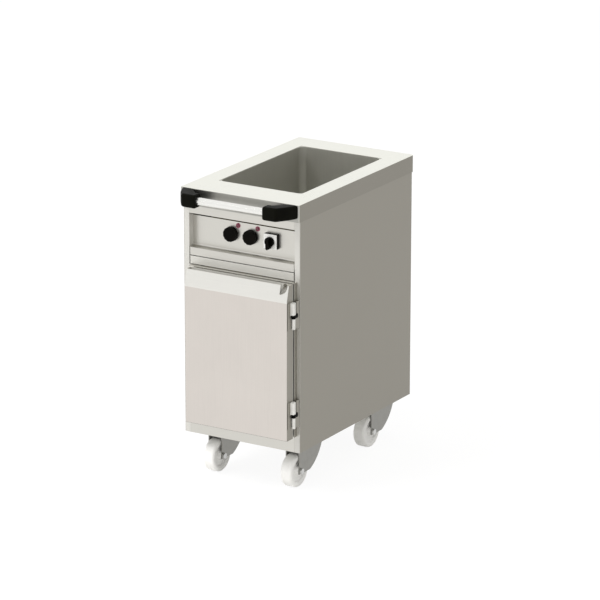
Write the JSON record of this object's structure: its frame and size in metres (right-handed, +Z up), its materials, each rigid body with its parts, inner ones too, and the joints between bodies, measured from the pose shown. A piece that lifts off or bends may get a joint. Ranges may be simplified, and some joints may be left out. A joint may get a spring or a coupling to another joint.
{
  "type": "hostess trolley",
  "caption": "Heated food trolley on swivel casters, with an open well in the worktop, a recessed control panel, a hinged cupboard door and a push handle between corner bumpers.",
  "frame": {"origin": "centre of the overall box, on the floor under the wheels", "axes": "+Z up, +X to the right seen from the door side, +Y towards the back; the door and the push handle face -Y"},
  "size_m": [0.44, 0.793, 0.967],
  "materials": {
    "stainless": "satin",
    "tank_steel": "satin",
    "polished_tube": "polished",
    "heater_sheath": "matte",
    "mineral_wool": "matte",
    "bumper_black": "satin",
    "knob_black": "satin",
    "switch_black": "satin",
    "switch_white": "satin",
    "lamp_red": "gloss",
    "hinge_cast": "satin",
    "spacer_black": "matte",
    "zinc_parts": "satin",
    "caster_steel": "satin",
    "wheel_nylon": "satin",
    "seal_rubber": "matte"
  },
  "bodies": {
    "body": {"worktop": "stainless", "side_panel_left": "stainless", "side_panel_right": "stainless", "rear_panel": "stainless", "front_post_left": "stainless", "front_post_right": "stainless", "top_rail": "stainless", "crossbar": "stainless", "plinth": "stainless", "door_jamb_left": "stainless", "door_jamb_right": "stainless", "control_panel": "stainless", "tray_runners_left": "stainless", "tray_runners_right": "stainless", "heater_cover": "stainless", "door_frame": "stainless", "well_tank": "tank_steel", "cupboard_liner": "tank_steel", "floor_plate": "tank_steel", "handle_tube": "polished_tube", "well_heater": "heater_sheath", "cupboard_heater": "heater_sheath", "well_insulation": "mineral_wool", "cupboard_insulation": "mineral_wool", "corner_bumper_left": "bumper_black", "corner_bumper_right": "bumper_black", "thermostats": "zinc_parts", "rotary_switch_body": "switch_black", "switch_faceplate": "switch_white", "pilot_lamp_holders": "lamp_red", "pilot_lamp_lenses": "lamp_red", "frame_hinge_knuckles": "hinge_cast", "hinge_spacers": "spacer_black", "hinge_pins": "zinc_parts", "cable_gland": "spacer_black", "caster_plates": "caster_steel", "caster_bolts": "zinc_parts", "bumper_screws": "zinc_parts"},
    "door": {"door_skin": "stainless", "door_grip": "stainless", "door_inner_panel": "tank_steel", "door_insulation": "mineral_wool", "door_seal": "seal_rubber", "door_hinge_knuckles": "hinge_cast"},
    "well_knob": {"knob_well": "knob_black"},
    "cupboard_knob": {"knob_cupboard": "knob_black"},
    "mode_switch": {"switch_knob": "switch_black"},
    "caster_front_left": {"fork_front_left": "caster_steel", "axle_front_left": "zinc_parts"},
    "wheel_front_left": {"wheel_front_left": "wheel_nylon"},
    "caster_front_right": {"fork_front_right": "caster_steel", "axle_front_right": "zinc_parts"},
    "wheel_front_right": {"wheel_front_right": "wheel_nylon"},
    "caster_rear_left": {"fork_rear_left": "caster_steel", "axle_rear_left": "zinc_parts"},
    "wheel_rear_left": {"wheel_rear_left": "wheel_nylon"},
    "caster_rear_right": {"fork_rear_right": "caster_steel", "axle_rear_right": "zinc_parts"},
    "wheel_rear_right": {"wheel_rear_right": "wheel_nylon"}
  },
  "joints": [
    {"name": "door_hinge", "type": "hinge", "parent": "body", "child": "door", "pos_m": [0.213, -0.35, 0.301], "axis": [0, 0, 1], "range_deg": [0, 180]},
    {"name": "well_knob_turn", "type": "hinge", "parent": "body", "child": "well_knob", "pos_m": [-0.05275, -0.2905, 0.826], "axis": [0, -1, 0], "range_deg": [-270, 0]},
    {"name": "cupboard_knob_turn", "type": "hinge", "parent": "body", "child": "cupboard_knob", "pos_m": [0.01975, -0.2905, 0.826], "axis": [0, -1, 0], "range_deg": [-270, 0]},
    {"name": "mode_switch_turn", "type": "hinge", "parent": "body", "child": "mode_switch", "pos_m": [0.099, -0.2905, 0.826], "axis": [0, -1, 0], "range_deg": [-90, 90]},
    {"name": "swivel_front_left", "type": "hinge", "parent": "body", "child": "caster_front_left", "pos_m": [-0.1465, -0.1765, 0.117], "axis": [0, 0, 1], "continuous": true},
    {"name": "roll_front_left", "type": "hinge", "parent": "caster_front_left", "child": "wheel_front_left", "pos_m": [-0.1465, -0.2365, 0.054], "axis": [1, 0, 0], "continuous": true},
    {"name": "swivel_front_right", "type": "hinge", "parent": "body", "child": "caster_front_right", "pos_m": [0.1465, -0.1765, 0.117], "axis": [0, 0, 1], "continuous": true},
    {"name": "roll_front_right", "type": "hinge", "parent": "caster_front_right", "child": "wheel_front_right", "pos_m": [0.1465, -0.2365, 0.054], "axis": [1, 0, 0], "continuous": true},
    {"name": "swivel_rear_left", "type": "hinge", "parent": "body", "child": "caster_rear_left", "pos_m": [-0.1465, 0.2835, 0.117], "axis": [0, 0, 1], "continuous": true},
    {"name": "roll_rear_left", "type": "hinge", "parent": "caster_rear_left", "child": "wheel_rear_left", "pos_m": [-0.1465, 0.2235, 0.054], "axis": [1, 0, 0], "continuous": true},
    {"name": "swivel_rear_right", "type": "hinge", "parent": "body", "child": "caster_rear_right", "pos_m": [0.1465, 0.2835, 0.117], "axis": [0, 0, 1], "continuous": true},
    {"name": "roll_rear_right", "type": "hinge", "parent": "caster_rear_right", "child": "wheel_rear_right", "pos_m": [0.1465, 0.2235, 0.054], "axis": [1, 0, 0], "continuous": true}
  ]
}
